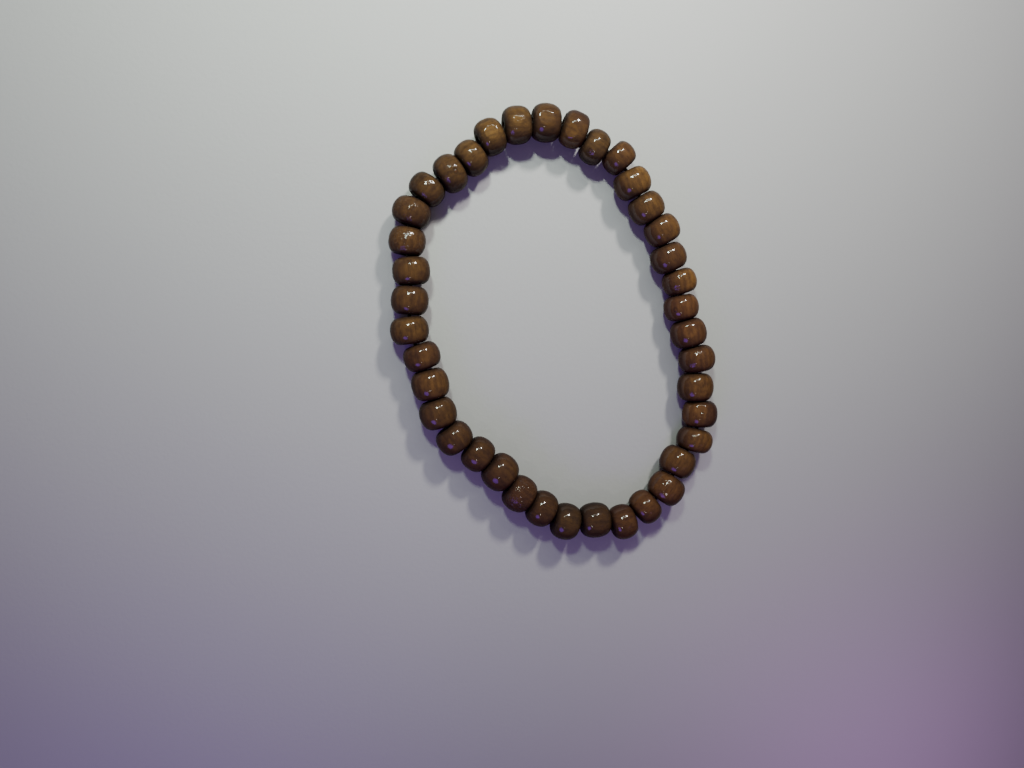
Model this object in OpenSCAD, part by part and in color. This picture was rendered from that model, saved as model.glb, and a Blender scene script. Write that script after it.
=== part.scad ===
// A stretch bracelet of thirty-nine turned wooden beads, stained brown and lacquered,
// threaded on one elastic cord. It lies flat, so that every bead rests on the surface.
// Frame: +X and +Y lie in the surface, +Z is up, and the origin is under the loop's middle.

/* [Beads] */
// Diameter of an average bead, measured across its bore
bead_across = 6.3; // [5.6:0.1:7]
// Length of an average bead, measured along its bore
bead_along = 4.4; // [3.8:0.05:4.75]
// Radius of a bead's flat end, where its crowned side runs out
end_radius = 1.75; // [1.5:0.05:2]
// Diameter of the drilled bore
bore_across = 2.4; // [2.4:0.1:2.6]
// Clearance left where two neighbouring rims come nearest
bead_gap = 0.1; // [0.1:0.05:0.4]

/* [Elastic cord] */
// Diameter of the elastic cord
cord_across = 0.7; // [0.5:0.1:0.7]

/* [Lie of the loop] */
// Clock direction of the first bead from the loop's middle, in degrees clockwise from +Y
first_bead = -12.8; // [-20:0.2:-5]
// How much of the beads' own sideways step and turn is kept, where 0 is a perfectly even loop
looseness = 1; // [0:0.1:1]

/* [Hidden] */
$fn = 64;

// Distance from the loop's middle to the string at each half hour of a clock face, from 12 o'clock.
// Only the proportions count, because the loop is sized to hold its beads.
half_hours = [
    33.6, 31.0, 27.1, 24.7, 22.9, 22.3, 22.8, 25.6, 29.2, 32.2, 34.7, 35.2,
    32.8, 28.3, 25.6, 25.5, 24.4, 23.7, 25.0, 26.2, 29.4, 31.5, 31.7, 33.8
];

// One row for each bead, clockwise from the top of the loop, in millimetres and degrees:
// wider and longer than an average bead, how far it sits outside the string's even line,
// and how far it is turned clockwise from lying square on that line.
WIDER = 0;
LONGER = 1;
OUT = 2;
TURN = 3;
bead_chart = [
    [0, 0.1, 0.5, 10], [0.1, 0.25, 0.35, 3], [0, -0.2, 0.2, 0], [-0.2, -0.4, -0.75, -3],
    [-0.4, -0.4, 0.6, 2], [0.2, 0.2, -0.2, 8], [0, 0.15, -0.4, 3], [-0.1, 0.15, 0.2, -5],
    [0.1, 0.05, -0.4, -6], [-0.2, -0.3, 0.4, -1], [-0.1, -0.2, -0.3, 0], [0.1, 0.25, 0.1, 1],
    [0.2, 0, 0.3, 4], [0.15, 0.35, -0.7, 6], [-0.05, 0.1, 0.25, -6], [0.15, -0.4, 0.4, -4],
    [0.1, 0.35, -0.85, -1], [0.3, 0.4, 0, -5], [-0.1, -0.3, -0.1, -4], [-0.1, -0.15, 0.3, 3],
    [-0.1, 0.6, -1, -4], [0.1, 0.1, -0.1, -3], [0, -0.05, -0.3, -8], [0.1, 0.25, 0.2, -8],
    [0.3, 0.5, -0.3, -2], [-0.2, -0.1, -0.1, 1], [0, 0, 0.1, 7], [0.1, 0.3, 0.3, 5],
    [0.1, 0.45, -0.1, 1], [0, -0.2, -0.1, 2], [0.2, 0, 0.4, 5], [0, 0.15, 0, 4],
    [0, 0, -0.5, 1], [-0.1, -0.05, 0.1, 1], [0.2, -0.15, 0.65, 0], [-0.1, -0.45, 0.3, -2],
    [0.2, -0.25, -0.2, 0], [-0.2, -0.35, -0.05, -1], [-0.1, -0.15, 0.6, 12]
];
bead_count = len(bead_chart);
function after(i) = (i + 1) % bead_count;
function across(i) = bead_across + bead_chart[i][WIDER];
function along(i) = bead_along + bead_chart[i][LONGER];

// Flat spots that the bead blanks kept from sawing, one row each: the bead's number, how far round from
// straight up towards the outside of the loop, how far leant towards the next bead, and the depth cut away
BEAD = 0;
AROUND = 1;
LEAN = 2;
DEPTH = 3;
flat_spots = [
    [39, 4, -5, 0.19], [1, 20, -4, 0.08], [2, -5, -15, 0.2], [3, -23, -14, 0.2], [3, 75, 6, 0.2],
    [12, -26, 0, 0.13], [15, -17, -13, 0.18], [30, 8, 7, 0.15]
];

// A bead's section: the arc of its crowned side, and how far that arc's centre is from the bore's axis
function crown(i) = (pow(across(i) / 2 - end_radius, 2) + pow(along(i) / 2, 2)) / (across(i) - 2 * end_radius);
function crown_middle(i) = across(i) / 2 - crown(i);

// The even line: a smooth closed curve through the half-hour distances
hour_step = 360 / len(half_hours);
function reach(k) = half_hours[(k + len(half_hours)) % len(half_hours)];
function smooth(p, t) = (2 * p[1] + (p[2] - p[0]) * t
    + (2 * p[0] - 5 * p[1] + 4 * p[2] - p[3]) * t * t
    + (3 * p[1] - p[0] - 3 * p[2] + p[3]) * t * t * t) / 2;
function line_at(a) = let (h = (a + 360) / hour_step, k = floor(h))
    smooth([for (j = [-1:2]) reach(k + j)], h - k) * [sin(a), cos(a)];

// Length run along the line up to each degree of the clock face, counted from the first bead
run = [for (a = 0, s = 0; a <= 360; a = a + 1,
    s = s + norm(line_at(first_bead + a) - line_at(first_bead + a - 1))) s];
line_length = run[360];
angle_of_run = [for (a = [0:360]) [run[a], first_bead + a]];
function angle_at(s) = lookup(s, angle_of_run);
function heading(s) = let (a = angle_at(s), d = line_at(a + 0.5) - line_at(a - 0.5)) atan2(d[1], d[0]);

// Running totals of a list, starting from 0
function totals(list) = [for (i = 0, s = 0; i <= len(list); s = s + (i < len(list) ? list[i] : 0), i = i + 1) s];

// Even places, from which the real steps are worked out
half_pairs = [for (i = [0:bead_count - 1]) (along(i) + along(after(i))) / 2];
even_totals = totals(half_pairs);
even_run = even_totals * line_length / even_totals[bead_count];
function bead_turn(i, run) = heading(run[i]) - looseness * bead_chart[i][TURN];
function along_heading(h) = [cos(h), sin(h)];

// Step from one bead's middle to the next one's, measured along the line, so that their rims clear by
// the gap. Where two beads are turned against each other, their rims come nearest on one side, and the
// wedge between their flat ends takes some room, the less the further they are moved sideways. In a
// bend, beads that sit inside the line need longer steps along it than beads that sit outside it.
function steps_from(run) = [for (i = [0:bead_count - 1]) let (
    bore = along_heading(bead_turn(i, run)), next_bore = along_heading(bead_turn(after(i), run)),
    both = (bore + next_bore) / norm(bore + next_bore),
    line = along_heading(heading(run[i])), next_line = along_heading(heading(run[after(i)])),
    onward = (line + next_line) / norm(line + next_line),
    out = looseness * bead_chart[i][OUT], next_out = looseness * bead_chart[after(i)][OUT],
    outward = (next_out - out) * [-onward[1], onward[0]],
    halves = (along(i) * bore + along(after(i)) * next_bore) / 2,
    sideways = abs(cross(both, outward - halves + half_pairs[i] * onward)),
    wedge = abs(cross(bore, next_bore)) * (end_radius - sideways / 2))
    (bead_gap + wedge + both * (halves - outward)) / (both * onward)
    + cross(line, next_line) * (out + next_out) / 2];
first_totals = totals(steps_from(even_run));
step_totals = totals(steps_from(first_totals * line_length / first_totals[bead_count]));
line_scale = step_totals[bead_count] / line_length;

// Where each bead lies: heading of its bore, and its middle before the loop is centred
bead_run = step_totals / line_scale;
bead_heading = [for (i = [0:bead_count - 1]) bead_turn(i, bead_run)];
loose_middle = [for (i = [0:bead_count - 1]) let (h = heading(bead_run[i]))
    line_scale * line_at(angle_at(bead_run[i])) + looseness * bead_chart[i][OUT] * [-sin(h), cos(h)]];
function middle_of_loop(axis) = (max([for (i = [0:bead_count - 1]) loose_middle[i][axis] + across(i) / 2])
    + min([for (i = [0:bead_count - 1]) loose_middle[i][axis] - across(i) / 2])) / 2;
loop_middle = [middle_of_loop(0), middle_of_loop(1)];
bead_middle = [for (i = [0:bead_count - 1]) concat(loose_middle[i] - loop_middle, across(i) / 2)];
function bore_direction(i) = [cos(bead_heading[i]), sin(bead_heading[i]), 0];

// Half of a bead's section, bore included: a crowned side in one arc, cut off square at both ends
module bead_section(i) {
    intersection() {
        translate([crown_middle(i), 0]) circle(crown(i));
        translate([0, -along(i) / 2]) square([across(i), along(i)]);
    }
}

// Everything beyond a flat spot, in a bead that still stands upright
module flat_spot(i, spot) {
    crown_reach = crown_middle(i) * cos(spot[LEAN]) + crown(i);
    rotate([0, 90 - spot[LEAN], 180 - spot[AROUND]])
    translate([-bead_across, -bead_across, crown_reach - spot[DEPTH]])
    cube(2 * bead_across);
}

// One drilled bead, lying on the surface with its bore along its heading
module bead(i) {
    color([0.37, 0.23, 0.1])
    translate(bead_middle[i])
    rotate([0, 90, bead_heading[i]])
    difference() {
        rotate_extrude() difference() {
            bead_section(i);
            translate([-bead_across, -bead_along]) square([bead_across + bore_across / 2, 2 * bead_along]);
        }
        for (spot = flat_spots) if (spot[BEAD] == i + 1) flat_spot(i, spot);
    }
}

// The elastic cord: one closed tube that runs straight through each bore and bends at the joints,
// where it takes the middle between the mouths of the two bores
cord_sides = 8;
function joint_middle(i) = (bead_middle[i] + bore_direction(i) * along(i) / 2
    + bead_middle[after(i)] - bore_direction(after(i)) * along(after(i)) / 2) / 2;
cord_line = [for (i = [0:bead_count - 1]) let (a = joint_middle(i), b = joint_middle(after(i)))
    each [0.8 * a + 0.2 * b, 0.2 * a + 0.8 * b]];
cord_rings = len(cord_line);
function cord_side(k) = let (d = cord_line[(k + 1) % cord_rings] - cord_line[(k + cord_rings - 1) % cord_rings])
    [-d[1], d[0], 0] / norm([d[0], d[1]]);
module elastic_cord() {
    points = [for (k = [0:cord_rings - 1], j = [0:cord_sides - 1]) let (t = 360 * j / cord_sides)
        cord_line[k] + cord_across / 2 * (cos(t) * cord_side(k) + sin(t) * [0, 0, 1])];
    function point(k, j) = (k % cord_rings) * cord_sides + j % cord_sides;
    faces = [for (k = [0:cord_rings - 1], j = [0:cord_sides - 1]) each [
        [point(k, j), point(k + 1, j), point(k, j + 1)],
        [point(k + 1, j), point(k + 1, j + 1), point(k, j + 1)]]];
    color([0.12, 0.1, 0.09]) polyhedron(points, faces);
}

function bead_name(i) = str("bead_", i < 9 ? "0" : "", i + 1);
for (i = [0:bead_count - 1]) bead(i);
elastic_cord();
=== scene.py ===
"""The looks of a stretch bracelet: thirty-nine turned, stained and lacquered wooden beads on elastic.

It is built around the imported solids, in metres, on the surface at height 0.
"""

import math

import bmesh
import bpy
import numpy as np
from mathutils import Matrix, Vector, noise


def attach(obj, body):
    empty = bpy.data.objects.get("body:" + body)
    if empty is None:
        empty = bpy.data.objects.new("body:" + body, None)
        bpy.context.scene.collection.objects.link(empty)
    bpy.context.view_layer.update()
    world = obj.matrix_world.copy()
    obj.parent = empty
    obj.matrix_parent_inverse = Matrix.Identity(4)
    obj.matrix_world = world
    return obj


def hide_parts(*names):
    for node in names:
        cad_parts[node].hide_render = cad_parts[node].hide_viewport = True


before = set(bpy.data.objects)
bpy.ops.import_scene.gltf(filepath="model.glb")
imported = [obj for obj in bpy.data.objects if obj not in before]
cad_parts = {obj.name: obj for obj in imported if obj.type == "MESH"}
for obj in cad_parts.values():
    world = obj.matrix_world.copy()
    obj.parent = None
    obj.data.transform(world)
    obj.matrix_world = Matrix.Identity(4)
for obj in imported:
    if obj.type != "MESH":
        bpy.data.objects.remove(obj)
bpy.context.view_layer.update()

# Camera
# It is held about 13 cm above the lying bracelet and looks down on it, leaning some ten degrees off
# the vertical, so that it sees a little more of the beads' sides that face the upper left.

lean = math.radians(10.5)
lean_axis = Vector((-0.39, -0.92, 0.0))
aimed_at = Vector((-0.0081, -0.0096, 0.00305))
camera_height = 0.130

camera = bpy.data.objects.new("camera", bpy.data.cameras.new("camera"))
camera.data.sensor_width = 36.0
camera.data.lens = 27.04
camera.data.clip_start = 0.005
camera.matrix_world = (
    Matrix.Translation(aimed_at)
    @ Matrix.Rotation(lean, 4, lean_axis)
    @ Matrix.Translation((0.0, 0.0, camera_height))
)
bpy.context.scene.collection.objects.link(camera)
bpy.context.scene.camera = camera

# Bead blanks
# Each bead is a barrel of close-grained hardwood, turned on a small lathe from a dowel and drilled
# along the grain. The tool leaves no two alike: some are fuller at the shoulders, some are rounder.

bead_count = 39
bead_names = [f"bead_{i + 1:02d}" for i in range(bead_count)]

# Radius of a bead's flat ends, and of the rounding at the mouths of its bore, in millimetres
end_radius = 1.75
mouth_round = 0.18

# Steps round a bead, along its crowned side, and over each of the two parts of an end
lathe_steps = 112
shoulder_steps = 40
end_steps = 4

# Fullness of the shoulders: 2 gives half an ellipse, and more gives a squarer barrel. Beads that
# aren't listed differ from the usual fullness by chance, by no more than the spread.
usual_fullness = 2.06
fullness_spread = 0.1
fullness_of_bead = {1: 2.35, 2: 2.25, 3: 2.3, 15: 2.2, 33: 2.3, 34: 2.0, 35: 2.0}

# How near an end a point of a packed bead lies to count as part of it, in millimetres
end_slack = 0.02


def lie_of_bead(name):
    """Middle, heading of the bore, length and width of a packed bead, in millimetres and radians."""
    points = np.array([v.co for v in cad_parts[name].data.vertices]) * 1000
    level = points[:, :2]

    def length_along(heading):
        reach = level @ np.array((math.cos(heading), math.sin(heading)))
        return reach.max() - reach.min()

    # A bead is shortest along its bore. The heading is found in whole degrees and then more finely.
    heading = min(np.radians(np.arange(0, 180, 1.0)), key=length_along)
    for step in (0.1, 0.01):
        near = heading + np.radians(np.arange(-12, 12.5) * step)
        heading = min(near, key=length_along)
    bore = np.array((math.cos(heading), math.sin(heading)))
    across = np.array((-bore[1], bore[0]))
    along = level @ bore
    ends = (along > along.max() - end_slack) | (along < along.min() + end_slack)
    sideways = level @ across
    side = (sideways[ends].max() + sideways[ends].min()) / 2
    middle = bore * (along.max() + along.min()) / 2 + across * side
    height = (points[ends, 2].max() + points[ends, 2].min()) / 2
    return Vector((*middle, height)), heading, along.max() - along.min(), 2 * height


def end_template(half, bore, swell):
    """Outline of one end from rim to bore, as (along, out): it swells a little to a rounded mouth."""
    points = []
    for k in range(1, end_steps + 1):
        out = end_radius + (bore + mouth_round - end_radius) * k / end_steps
        points.append((half + swell * (1 - (1 - k / end_steps) ** 2), out))
    for k in range(1, end_steps + 1):
        turn = math.pi / 2 * k / end_steps
        along = half + swell - mouth_round * (1 - math.cos(turn))
        points.append((along, bore + mouth_round * (1 - math.sin(turn))))
    return points


def lathe_template(length, width, fullness, bore, swells):
    """Outline of half a bead, as (along, out): a crowned side between two swelling ends."""
    half = length / 2
    crown = width / 2 - end_radius
    points = []
    for k in range(shoulder_steps + 1):
        turn = math.pi * (k / shoulder_steps - 0.5)
        along = half * math.copysign(abs(math.sin(turn)) ** (2 / fullness), turn)
        points.append((along, end_radius + crown * abs(math.cos(turn))))
    points += end_template(half, bore, swells[1])
    points += [(along * half, bore) for along in (0.5, 0.0, -0.5)]
    points += [(-along, out) for along, out in reversed(end_template(half, bore, swells[0]))]
    return points


def turned_blank(outline_points):
    """A bmesh of one bead, spun round its bore, in millimetres with the bore along X."""
    bm = bmesh.new()
    outline = [bm.verts.new((along, 0.0, out)) for along, out in outline_points]
    edges = [bm.edges.new((a, b)) for a, b in zip(outline, outline[1:] + outline[:1])]
    bmesh.ops.spin(
        bm,
        geom=outline + edges,
        cent=(0, 0, 0),
        axis=(1, 0, 0),
        dvec=(0, 0, 0),
        angle=2 * math.pi,
        steps=lathe_steps,
        use_merge=True,
        use_duplicate=False,
    )
    bmesh.ops.remove_doubles(bm, verts=bm.verts, dist=0.001)
    bmesh.ops.recalc_face_normals(bm, faces=bm.faces)
    return bm


# Flats and facets
# The dowel's sawn faces were not all turned away, which leaves soft-edged flats on some beads, and
# tumbling gives every bead a few shallow facets. Lacquer rounds all of their edges.

# One row for each flat: how far round from straight up towards the loop's outside, how far leant
# towards the next bead, both in degrees, and how deep it goes, in millimetres
flats_of_bead = {
    1: [(3, -4, 0.08)],
    2: [(3, -8, 0.2)],
    3: [(-23, -14, 0.2), (75, 6, 0.2)],
    12: [(-16, -9, 0.17)],
    15: [(-18, -14, 0.18)],
    30: [(-8, 0, 0.13)],
    39: [(6, -1, 0.19)],
}
flat_edge = 0.028

# The facets' depth and soft edge in millimetres, how much they lean along the bore, and the cosine
# of the least angle between one and a flat
facets_per_bead = 5
facet_depth = 0.009
facet_edge = 0.022
facet_lean = 0.8
beside_flat = 0.88


def press(bm, facing, depth, edge, sanded=None):
    """Sinks what stands furthest out along a direction to one plane, with a soft edge round it.

    Where a sanded layer is given, it notes how much of each point lies in that plane.
    """
    far = max(v.co.dot(facing) for v in bm.verts)
    plane = far - depth
    for v in bm.verts:
        over = v.co.dot(facing) - plane
        if over > -edge:
            sunk = over if over > edge else (over + edge) ** 2 / (4 * edge)
            v.co -= facing * sunk
            if sanded is not None:
                v[sanded] = max(v[sanded], min(1.0, (over + edge) / (2 * edge)))


def facing_of(around, lean_over):
    """Direction of a flat in the bead's own axes: X along its bore to the next bead, Z up."""
    around, lean_over = math.radians(around), math.radians(lean_over)
    side, up = math.sin(around), math.cos(around)
    return Vector((math.sin(lean_over), math.cos(lean_over) * side, math.cos(lean_over) * up))


# Stain, lacquer and blemishes
# The beads are dipped in brown stain and tumbled in clear lacquer. The stain takes unevenly: deeper
# at the end grain, paler where a flat was sanded. Shade is painted on the ends where beads meet, and a
# lit patch is painted on each bead's upper side. Lacquer lies thick and glossy, wrinkled on some.

golden_beads = {
    1: 0.4, 2: 0.1, 3: 0.4, 5: 0.25, 6: 1.3, 7: 0.55, 8: 0.9, 9: 0.2, 10: 1.5, 11: 0.75,
    12: 0.35, 13: 0.45, 14: 1.1, 15: 0.65, 16: 1.1, 17: 0.9, 18: 0.9, 19: 0.65, 20: 0.35,
    28: 0.4, 29: 0.8, 30: 0.15, 31: 0.7, 32: 0.3, 33: 0.4, 34: 0.6, 37: 0.2, 38: 0.4, 39: 0.6,
}
ruddy_beads = {
    2: 0.2, 3: 0.25, 5: 0.4, 6: 0.2, 7: 0.2, 8: 0.4, 9: 0.5, 10: 0.5, 11: 0.9, 12: 0.8, 13: 0.7,
    14: 0.5, 15: 0.7, 16: 0.5, 17: 0.4, 18: 0.7, 19: 0.8, 20: 0.7, 21: 0.3, 22: 0.1, 23: 0.4,
    24: 0.8, 25: 0.4, 26: 0.3, 27: 0.3, 28: 0.2, 29: 0.4, 30: 0.5, 31: 0.2, 32: 0.3, 33: 0.2,
    34: 0.3, 35: 0.2,
}
ashen_beads = {4: 0.5, 21: 0.9, 22: 0.9, 23: 0.3, 24: 0.3}
wrinkled_beads = {
    1: 0.4, 10: 0.5, 13: 0.4, 18: 0.5, 24: 1.0, 29: 0.15, 34: 0.7, 35: 0.6, 36: 0.5, 37: 0.35,
}

# Each tone that a bead's stain and lacquer can have: the beads that have more or less of it than
# usual, and the usual share
tones = {
    "golden": (golden_beads, 0.12),
    "ruddy": (ruddy_beads, 0.0),
    "ashen": (ashen_beads, 0.0),
    "wrinkle": (wrinkled_beads, 0.05),
}

# Each bead's upper side is painted paler, a painted lit patch where the light falls. One entry for each
# bead whose patch is placed one by one: how far round from straight up, and how far leant towards the
# next bead, in degrees
lit_patch_of_bead = {
    2: (0, -6), 3: (-30, -10), 6: (15, -10), 10: (20, 0), 15: (-38, 0), 17: (-18, 0), 18: (-20, 0),
    19: (-22, 0), 38: (5, 5), 39: (8, 0),
}

# How far the painted lit patch strays from the top on the other beads, at most and in degrees. Then
# the cosine of the angle from its middle at which a patch starts, and how much more it is where it is
# full
lit_patch_stray = 18
lit_patch_reach = 0.25
lit_patch_growth = 0.7

# Where a bead has a blemish: how far along the bore towards the next bead and how far round from
# straight up, in millimetres and degrees
blemish_of_bead = {4: (-0.7, -36), 11: (0.15, -41), 15: (-0.25, -14), 37: (0.4, -10)}
blemish_radius = 0.5


def shader_node(tree, kind, inputs=None, **settings):
    """A node with its settings, and with each named input set to a value or linked to a socket."""
    made = tree.nodes.new(kind)
    for name, value in settings.items():
        setattr(made, name, value)
    for name, value in (inputs or {}).items():
        if isinstance(value, bpy.types.NodeSocket):
            tree.links.new(value, made.inputs[name])
        else:
            made.inputs[name].default_value = value
    return made


def math_node(tree, operation, first, second=0.0, third=0.0):
    """The value of one sum, product or other operation on two or three values."""
    values = {0: first, 1: second, 2: third}
    return shader_node(tree, "ShaderNodeMath", values, operation=operation).outputs[0]


def vector_node(tree, operation, first, second=(0.0, 0.0, 0.0)):
    """The vector that one operation on two vectors gives, or the length of the first of them."""
    made = shader_node(tree, "ShaderNodeVectorMath", {0: first, 1: second}, operation=operation)
    return made.outputs["Value" if operation == "LENGTH" else "Vector"]


def noise_node(tree, where, scale, detail, **others):
    """A noise texture's value from 0 to 1. Its other inputs go by their own names."""
    inputs = {"Vector": where, "Scale": scale, "Detail": detail, **others}
    return shader_node(tree, "ShaderNodeTexNoise", inputs).outputs["Fac"]


def blended(tree, share, under, over):
    """A colour laid over another by a share from 0 to 1."""
    mix = shader_node(tree, "ShaderNodeMix", data_type="RGBA")
    for index, value in ((0, share), (6, under), (7, over)):
        if isinstance(value, bpy.types.NodeSocket):
            tree.links.new(value, mix.inputs[index])
        else:
            mix.inputs[index].default_value = value
    return mix.outputs[2]


def ranged(tree, value, low, high, to_low=0.0, to_high=1.0):
    """A value brought smoothly from one range to another."""
    inputs = {"Value": value, "From Min": low, "From Max": high, "To Min": to_low, "To Max": to_high}
    return shader_node(tree, "ShaderNodeMapRange", inputs, interpolation_type="SMOOTHSTEP").outputs[0]


def new_group(name, inputs, outputs):
    """An empty shader group with named sockets, and its input and output nodes."""
    tree = bpy.data.node_groups.new(name, "ShaderNodeTree")
    for label, kind in inputs.items():
        tree.interface.new_socket(label, in_out="INPUT", socket_type=kind)
    for label in outputs:
        tree.interface.new_socket(label, in_out="OUTPUT", socket_type="NodeSocketFloat")
    return tree, tree.nodes.new("NodeGroupInput"), tree.nodes.new("NodeGroupOutput")


def new_material(name):
    """A material, its node tree and its shader."""
    made = bpy.data.materials.new(name)
    made.use_nodes = True
    return made, made.node_tree, made.node_tree.nodes["Principled BSDF"]


# Wood grain in millimetres, where X runs along the grain: streaks, the year rings round a pith that
# lies outside the bead, and pores
grain_stretch = (0.22, 1.0, 1.0)
to_pith = (0.0, 5.0, 3.5)
ring_rate = 7.5
ring_wander = 9.0
pore_stretch = (0.9, 9.0, 9.0)

tree, given, result = new_group("wood grain", {"Place": "NodeSocketVector"}, ("Streak", "Ring", "Pore"))
grain_group = tree
drawn_out = vector_node(tree, "MULTIPLY", given.outputs["Place"], grain_stretch)
streaks = noise_node(tree, drawn_out, 1.5, 5.0, Roughness=0.62)
tree.links.new(ranged(tree, streaks, 0.3, 0.7), result.inputs["Streak"])
pith_distance = vector_node(tree, "LENGTH", vector_node(tree, "ADD", drawn_out, to_pith))
wander = noise_node(tree, drawn_out, 0.5, 2.0)
ring_phase = math_node(tree, "MULTIPLY", wander, ring_wander)
ring_phase = math_node(tree, "MULTIPLY_ADD", pith_distance, ring_rate, ring_phase)
ring_wave = math_node(tree, "SINE", ring_phase)
tree.links.new(ranged(tree, ring_wave, -0.9, 1.0), result.inputs["Ring"])
pore_way = vector_node(tree, "MULTIPLY", given.outputs["Place"], pore_stretch)
pores = noise_node(tree, pore_way, 1.0, 2.0)
tree.links.new(ranged(tree, pores, 0.56, 0.7), result.inputs["Pore"])

# Lacquer skin in millimetres: a slow flow, fine specks of dust under it, and worm-like wrinkles
flow_height = 0.05
dust_height = 0.004
wrinkle_height = 0.12

tree, given, result = new_group(
    "lacquer skin", {"Place": "NodeSocketVector", "Wrinkle": "NodeSocketFloat"}, ("Height",)
)
skin_group = tree
flow = noise_node(tree, given.outputs["Place"], 0.75, 1.0)
dust = noise_node(tree, given.outputs["Place"], 4.0, 0.0)
worms = noise_node(tree, given.outputs["Place"], 2.1, 0.0, Distortion=0.8)
height = math_node(tree, "MULTIPLY", flow, flow_height)
height = math_node(tree, "MULTIPLY_ADD", dust, dust_height, height)
wrinkled = math_node(tree, "MULTIPLY", worms, given.outputs["Wrinkle"])
height = math_node(tree, "MULTIPLY_ADD", wrinkled, wrinkle_height, height)
tree.links.new(height, result.inputs["Height"])

# A small scar: a sunk ring round a darker middle, where a knot or a bubble in the lacquer was
raggedness = 0.35

tree, given, result = new_group(
    "scar", {"From Scar": "NodeSocketVector", "Size": "NodeSocketFloat"}, ("Ring", "Middle")
)
scar_group = tree
distance = vector_node(tree, "LENGTH", given.outputs["From Scar"])
ragged = noise_node(tree, given.outputs["From Scar"], 2.0, 2.0)
uneven = math_node(tree, "MULTIPLY_ADD", ragged, raggedness, distance)
uneven = math_node(tree, "DIVIDE", uneven, given.outputs["Size"])
off_ring = math_node(tree, "ABSOLUTE", math_node(tree, "SUBTRACT", uneven, 1.0))
tree.links.new(ranged(tree, off_ring, 0.0, 0.45, 1.0, 0.0), result.inputs["Ring"])
tree.links.new(ranged(tree, uneven, 0.4, 1.0, 1.0, 0.0), result.inputs["Middle"])

lacquered, tree, wood = new_material("stained and lacquered wood")


def reading(tree, name, output="Fac"):
    """What a piece's points note under a name."""
    return shader_node(tree, "ShaderNodeAttribute", attribute_name=name).outputs[output]


place = reading(tree, "grain_place", "Vector")
golden = reading(tree, "golden")
ruddy = reading(tree, "ruddy")
end_share = reading(tree, "end_share")
grain = shader_node(tree, "ShaderNodeGroup", {"Place": place}, node_tree=grain_group)
skin = shader_node(
    tree,
    "ShaderNodeGroup",
    {"Place": place, "Wrinkle": reading(tree, "wrinkle")},
    node_tree=skin_group,
)
scar = shader_node(
    tree,
    "ShaderNodeGroup",
    {"From Scar": reading(tree, "from_scar", "Vector"), "Size": blemish_radius},
    node_tree=scar_group,
)

walnut_brown = (0.056, 0.030, 0.021, 1)
deep_brown = (0.019, 0.012, 0.012, 1)
mahogany = (0.066, 0.025, 0.019, 1)
smoke = (0.033, 0.023, 0.019, 1)
honey = (0.222, 0.117, 0.033, 1)
russet = (0.228, 0.101, 0.034, 1)
raw_red = (0.115, 0.042, 0.022, 1)

# The stain, deeper in patches
patches = noise_node(tree, place, 0.33, 3.0, Roughness=0.6)
blotches = noise_node(tree, place, 0.8, 4.0, Roughness=0.65)
colour = blended(tree, ranged(tree, patches, 0.3, 0.72), deep_brown, walnut_brown)
colour = blended(tree, math_node(tree, "MULTIPLY", ruddy, 0.75), colour, mahogany)
colour = blended(tree, math_node(tree, "MULTIPLY", reading(tree, "ashen"), 0.7), colour, smoke)

# Paler wood where a flat was sanded, and a painted lit patch on each bead's upper side, more of both on
# golden beads and in the grain's streaks
in_blotches = ranged(tree, blotches, 0.3, 0.62, 0.5, 1.0)
worn_and_lit = math_node(tree, "MULTIPLY", reading(tree, "painted_lit_patch"), in_blotches)
worn_and_lit = math_node(tree, "MULTIPLY", worn_and_lit, math_node(tree, "MULTIPLY_ADD", golden, 0.30, 0.40))
worn_and_lit = math_node(tree, "MULTIPLY_ADD", golden, 0.08, worn_and_lit)
sanded_share = math_node(tree, "MULTIPLY_ADD", golden, 0.25, 0.12)
worn_and_lit = math_node(tree, "MULTIPLY_ADD", reading(tree, "sanded"), sanded_share, worn_and_lit)
worn_and_lit = math_node(tree, "MULTIPLY", worn_and_lit, ranged(tree, grain.outputs["Streak"], 0.0, 1.0, 0.72, 1.15))
colour = blended(tree, worn_and_lit, colour, blended(tree, ruddy, honey, russet))

# Dark rings, pores and end grain, painted shade on the ends where beads meet, and the scars
colour = blended(tree, math_node(tree, "MULTIPLY", grain.outputs["Ring"], 0.14), colour, deep_brown)
colour = blended(tree, math_node(tree, "MULTIPLY", grain.outputs["Pore"], 0.35), colour, deep_brown)
# Darker towards each end: the end grain's deeper stain, and painted shade where neighbouring beads meet
colour = blended(tree, ranged(tree, end_share, 0.68, 1.0, 0.0, 0.6), colour, deep_brown)
colour = blended(tree, math_node(tree, "MULTIPLY", scar.outputs["Middle"], 0.6), colour, raw_red)
colour = blended(tree, math_node(tree, "MULTIPLY", scar.outputs["Ring"], 0.4), colour, deep_brown)
tree.links.new(colour, wood.inputs["Base Color"])

# The lacquer's relief, in millimetres
scar_height = -0.03
pore_height = -0.001
relief = math_node(tree, "MULTIPLY_ADD", scar.outputs["Ring"], scar_height, skin.outputs["Height"])
relief = math_node(tree, "MULTIPLY_ADD", grain.outputs["Pore"], pore_height, relief)
bump = shader_node(tree, "ShaderNodeBump", {"Height": relief, "Strength": 1.0, "Distance": 0.001})
tree.links.new(bump.outputs["Normal"], wood.inputs["Normal"])
tree.links.new(bump.outputs["Normal"], wood.inputs["Coat Normal"])

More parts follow.
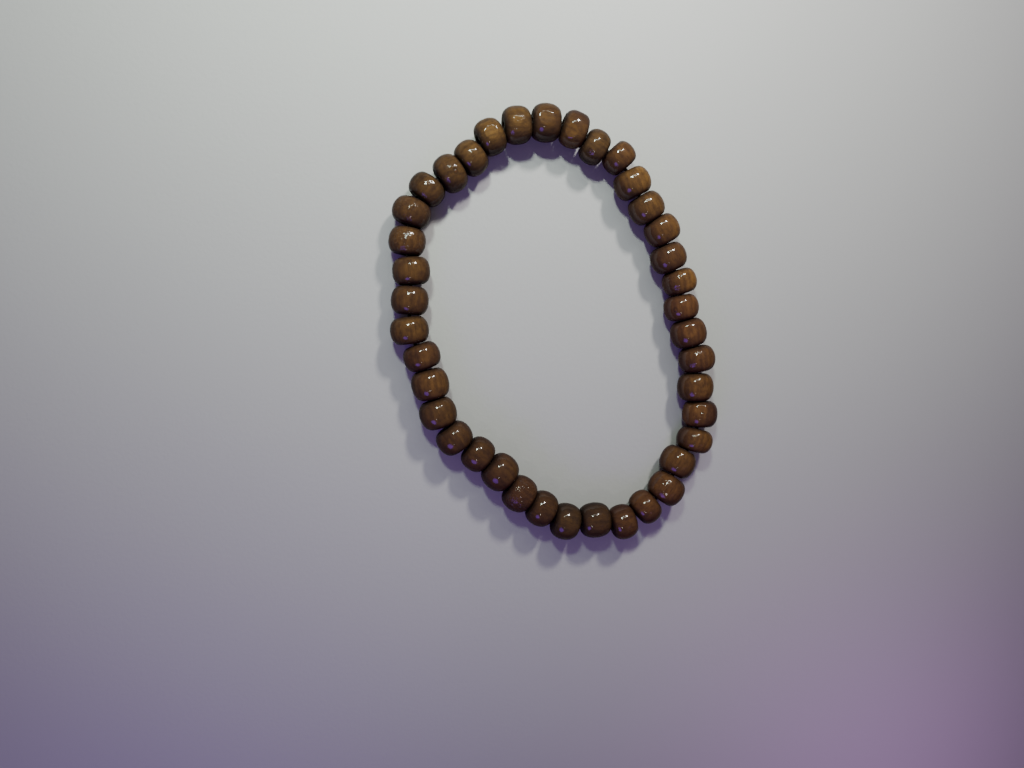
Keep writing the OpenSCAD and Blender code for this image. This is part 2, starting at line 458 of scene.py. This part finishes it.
# The wood under it is dull, most of all at its ends. The coat fades towards a bead's sides and is
# missing on its ends.
dull = ranged(tree, patches, 0.35, 0.75, 0.22, 0.32)
dull = math_node(tree, "MAXIMUM", dull, ranged(tree, end_share, 0.93, 1.0, 0.0, 0.6))
tree.links.new(dull, wood.inputs["Roughness"])
wood.inputs["IOR"].default_value = 1.4
wood.inputs["Specular IOR Level"].default_value = 0.05
facing_away = shader_node(tree, "ShaderNodeLayerWeight", {"Blend": 0.5}).outputs["Facing"]
gloss = ranged(tree, facing_away, 0.16, 0.46, 1.0, 0.0)
gloss = math_node(tree, "MULTIPLY", gloss, ranged(tree, end_share, 0.93, 1.0, 1.0, 0.0))
tree.links.new(gloss, wood.inputs["Coat Weight"])
wood.inputs["Coat Roughness"].default_value = 0.06
wood.inputs["Coat IOR"].default_value = 1.45

# Beads on the string
# Each blank gets its flats, a few tumbled facets, its stain and its painted lit patch, and takes its
# place on the loop. The beads lie end to end on the surface, each with its bore level.

# Finest and widest radius of a bore, and the room that the elastic takes in one, in millimetres.
# Where the elastic bends away from a bead's axis, this share of that distance is added.
finest_bore = 0.65
widest_bore = 1.2
cord_room = 0.36
bend_share = 0.8

# How far an end swells at most, in millimetres, and which share of the room between two rims it fills
most_swell = 0.22
swell_share = 0.42

# How much wood the lathe takes off each side, in millimetres: everywhere, and more in places
turned_off = 0.034
turned_off_in_places = 0.03

# Where the scar is for a bead that has none
far_off = Vector((0, 0, 50))

to_metres = Matrix.Scale(0.001, 4)


def level_way(heading):
    """The level direction of a heading."""
    return Vector((math.cos(heading), math.sin(heading), 0))


def add_piece(bm, name, material):
    """An object in the scene from a finished bmesh, which is freed."""
    mesh = bpy.data.meshes.new(name)
    bm.to_mesh(mesh)
    bm.free()
    mesh.materials.append(material)
    piece = bpy.data.objects.new(name, mesh)
    bpy.context.scene.collection.objects.link(piece)
    return piece


# Each bore is headed towards the next bead.
middles, headings, lengths, widths = map(list, zip(*(lie_of_bead(name) for name in bead_names)))
for i in range(bead_count):
    to_next = middles[(i + 1) % bead_count] - middles[i]
    if level_way(headings[i]).dot(to_next) < 0:
        headings[i] += math.pi
bores = [level_way(heading) for heading in headings]

# Where each two neighbours meet: the middle between their mouths, and the room between their rims
joint_middles = []
joint_rooms = []
for i in range(bead_count):
    after = (i + 1) % bead_count
    mouth = middles[i] + bores[i] * lengths[i] / 2
    next_mouth = middles[after] - bores[after] * lengths[after] / 2
    joint_middles.append((mouth + next_mouth) / 2)
    turned = abs(bores[i].cross(bores[after]).z)
    onward = (bores[i] + bores[after]).normalized()
    joint_rooms.append((next_mouth - mouth).dot(onward) - end_radius * turned)

# The factors of a bead's number below are only seeds: they keep the beads unlike each other.
for i, name in enumerate(bead_names):
    number = i + 1
    middle, heading, length, width = middles[i], headings[i], lengths[i], widths[i]
    to_bead = (Matrix.Translation(middle) @ Matrix.Rotation(heading, 4, "Z")).inverted()
    off_axis = max((to_bead @ joint_middles[k]).yz.length for k in (i, i - 1))
    bore = min(widest_bore, max(finest_bore, bend_share * off_axis + cord_room))
    swells = [min(most_swell, max(0.0, swell_share * joint_rooms[k])) for k in (i - 1, i)]
    chance = noise.noise(Vector((number * 3.7, 0, 0)))
    fullness = fullness_of_bead.get(number, usual_fullness + fullness_spread * chance)
    bm = turned_blank(lathe_template(length, width, fullness, bore, swells))
    layers = bm.verts.layers
    grain_place = layers.float_vector.new("grain_place")
    from_scar = layers.float_vector.new("from_scar")
    sanded = layers.float.new("sanded")
    end_layer = layers.float.new("end_share")
    painted_lit_patch = layers.float.new("painted_lit_patch")
    tone_layers = {tone: layers.float.new(tone) for tone in tones}

    flats = [(facing_of(*where), depth) for *where, depth in flats_of_bead.get(number, [])]
    for flat_side, depth in flats:
        press(bm, flat_side, depth, flat_edge, sanded)
    for k in range(facets_per_bead):
        seeds = [Vector((number, k * 1.7, axis * 9.1 + 0.3)) for axis in range(3)]
        facing = Vector([noise.noise(seed) for seed in seeds])
        facing.x *= facet_lean
        facing.normalize()
        if all(facing.dot(flat_side) < beside_flat for flat_side, _ in flats):
            press(bm, facing, facet_depth, facet_edge)

    scar_at = far_off
    if number in blemish_of_bead:
        along, around = blemish_of_bead[number]
        scar_at = facing_of(around, 0) * width / 2 + Vector((along, 0, 0))
    cut_from = Vector((number * 7.3, number * 3.1, 0))
    stray = lit_patch_stray * noise.noise(Vector((0, number * 2.3, 5)))
    lit_patch_side = facing_of(*lit_patch_of_bead.get(number, (stray, stray)))
    for v in bm.verts:
        radial = Vector((0, v.co.y, v.co.z))
        out = radial.length
        inner = out < bore + mouth_round * 0.5
        v[grain_place] = v.co + cut_from
        v[from_scar] = v.co - scar_at
        # The painted lit patch: paler wood painted round each bead's upper side, where the light falls
        in_patch = (v.co.normalized().dot(lit_patch_side) - lit_patch_reach) / lit_patch_growth
        v[painted_lit_patch] = max(0.0, min(1.0, in_patch))
        v[end_layer] = 1.0 if inner else min(1.0, abs(v.co.x) / (length / 2))
        for tone, (chosen_beads, usual) in tones.items():
            v[tone_layers[tone]] = chosen_beads.get(number, usual)
        if not inner and out > end_radius:
            lump = 0.5 + 0.5 * noise.noise(v.co * 0.5 + cut_from)
            v.co -= radial / out * (turned_off + turned_off_in_places * lump)
    on_loop = to_metres @ Matrix.Translation(middle) @ Matrix.Rotation(heading, 4, "Z")
    bmesh.ops.transform(bm, verts=bm.verts, matrix=on_loop)
    bead = add_piece(bm, name.replace("bead", "wooden_bead"), lacquered)
    bead.data.shade_smooth()
    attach(bead, "root")
    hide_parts(name)

# Elastic
# One length of round stretch cord, rubber strands in a fine braided sleeve, runs through all of the
# bores. It lies straight in each bead and bends where two beads meet.

# Radius of the cord and about how long each piece of its mesh is, in millimetres
cord_radius = 0.3
cord_step = 0.5
cord_sides = 12

# Shares of the way from one joint to the next between which the cord is straight
straight_part = (0.2, 0.8)

stops = []
for i in range(bead_count):
    stops += [joint_middles[i - 1].lerp(joint_middles[i], share) for share in straight_part]
sleeve_points = []
for a, b in zip(stops, stops[1:] + stops[:1]):
    parts = max(1, round((b - a).length / cord_step))
    sleeve_points += [a.lerp(b, k / parts) for k in range(parts)]

bm = bmesh.new()
rings = []
for k, point in enumerate(sleeve_points):
    forward = (sleeve_points[(k + 1) % len(sleeve_points)] - sleeve_points[k - 1]).normalized()
    turn = forward.to_track_quat("Z", "Y").to_matrix().to_4x4()
    ring = bmesh.ops.create_circle(
        bm,
        cap_ends=False,
        radius=cord_radius,
        segments=cord_sides,
        matrix=Matrix.Translation(point) @ turn,
    )
    rings.append(ring["verts"])
for ring, after in zip(rings, rings[1:] + rings[:1]):
    rims = {e for v in ring + after for e in v.link_edges if e.other_vert(v) in ring + after}
    bmesh.ops.bridge_loops(bm, edges=list(rims))
bmesh.ops.recalc_face_normals(bm, faces=bm.faces)
bmesh.ops.transform(bm, verts=bm.verts, matrix=to_metres)

braided, tree, sleeve = new_material("braided elastic")
black_yarn = (0.012, 0.009, 0.008, 1)
brown_yarn = (0.035, 0.028, 0.024, 1)
worn_yarn = (0.06, 0.05, 0.045, 1)
spot = shader_node(tree, "ShaderNodeTexCoord").outputs["Object"]
weave = shader_node(tree, "ShaderNodeTexVoronoi", {"Vector": spot, "Scale": 4500.0}).outputs["Distance"]
thread = noise_node(tree, spot, 9000.0, 2.0)
colour = blended(tree, ranged(tree, weave, 0.1, 0.7), brown_yarn, black_yarn)
colour = blended(tree, math_node(tree, "MULTIPLY", thread, 0.35), colour, worn_yarn)
tree.links.new(colour, sleeve.inputs["Base Color"])
tree.links.new(ranged(tree, thread, 0.3, 0.7, 0.6, 0.8), sleeve.inputs["Roughness"])
bump = shader_node(tree, "ShaderNodeBump", {"Height": weave, "Strength": 0.6, "Distance": 0.0001})
tree.links.new(bump.outputs["Normal"], sleeve.inputs["Normal"])

elastic = add_piece(bm, "elastic_sleeve", braided)
elastic.data.shade_smooth()
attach(elastic, "root")
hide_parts("elastic_cord")

# Table
# A plain pale table top, matt with a faint grain, level at the height on which the beads rest. It
# reaches well past the edges of the picture.

table_reach = 1.2
pale_grey = (0.64, 0.64, 0.63, 1)
duller_grey = (0.60, 0.60, 0.59, 1)

pale, tree, top = new_material("pale table")
spot = shader_node(tree, "ShaderNodeTexCoord").outputs["Object"]
cloud = noise_node(tree, spot, 12.0, 3.0)
tree.links.new(blended(tree, cloud, duller_grey, pale_grey), top.inputs["Base Color"])
pebble = noise_node(tree, spot, 1400.0, 1.0)
bump = shader_node(tree, "ShaderNodeBump", {"Height": pebble, "Strength": 0.25, "Distance": 0.0001})
tree.links.new(bump.outputs["Normal"], top.inputs["Normal"])
top.inputs["Roughness"].default_value = 0.55

bm = bmesh.new()
bmesh.ops.create_grid(bm, x_segments=1, y_segments=1, size=table_reach)
table_top = add_piece(bm, "table_top", pale)

# Light
# Two small soft boxes hang side by side beyond the loop's top, with a dim strip between them. A dim
# violet lamp and a tiny white one hang on the near side, a pink one lights only the table's near
# right corner, and a faint violet room lies all around.

# Place, size, power, tint and the spot on the table that each lamp is turned to
lamps = {
    "left_box": ((-0.066, 0.150, 0.215), (0.032, 0.032), 0.092, (0.85, 1.0, 0.85), (-0.026, 0.094)),
    "right_box": ((0.074, 0.198, 0.185), (0.032, 0.032), 0.088, (1.0, 0.98, 0.93), (0.016, 0.074)),
    "strip": ((0.004, 0.174, 0.200), (0.120, 0.012), 0.015, (0.92, 1.0, 0.90), (-0.005, 0.085)),
    "violet_lamp": ((-0.122, -0.190, 0.138), (0.114, 0.114), 0.018, (0.33, 0.09, 1.0), (-0.008, -0.010)),
    "tiny_lamp": ((-0.056, -0.132, 0.214), (0.012, 0.012), 0.0022, (1.0, 0.93, 0.86), (-0.008, -0.010)),
    "pink_lamp": ((0.070, -0.093, 0.100), (0.040, 0.040), 0.004, (0.82, 0.36, 1.0), (0.066, -0.085)),
}
lamp_spread = math.radians(68)
room_tint = (0.88, 0.66, 1.0, 1)
room_strength = 0.11

for name, (hung_at, size, power, tint, turned_to) in lamps.items():
    lamp = bpy.data.objects.new(name, bpy.data.lights.new(name, "AREA"))
    lamp.data.shape = "ELLIPSE"
    lamp.data.size, lamp.data.size_y = size
    lamp.data.spread = lamp_spread
    lamp.data.energy = power
    lamp.data.color = tint
    lamp.location = hung_at
    way = Vector((*turned_to, 0.0)) - lamp.location
    lamp.rotation_euler = way.to_track_quat("-Z", "Y").to_euler()
    bpy.context.scene.collection.objects.link(lamp)
room = bpy.data.worlds.new("room")
room.use_nodes = True
background = room.node_tree.nodes["Background"]
background.inputs["Color"].default_value = room_tint
background.inputs["Strength"].default_value = room_strength
bpy.context.scene.world = room
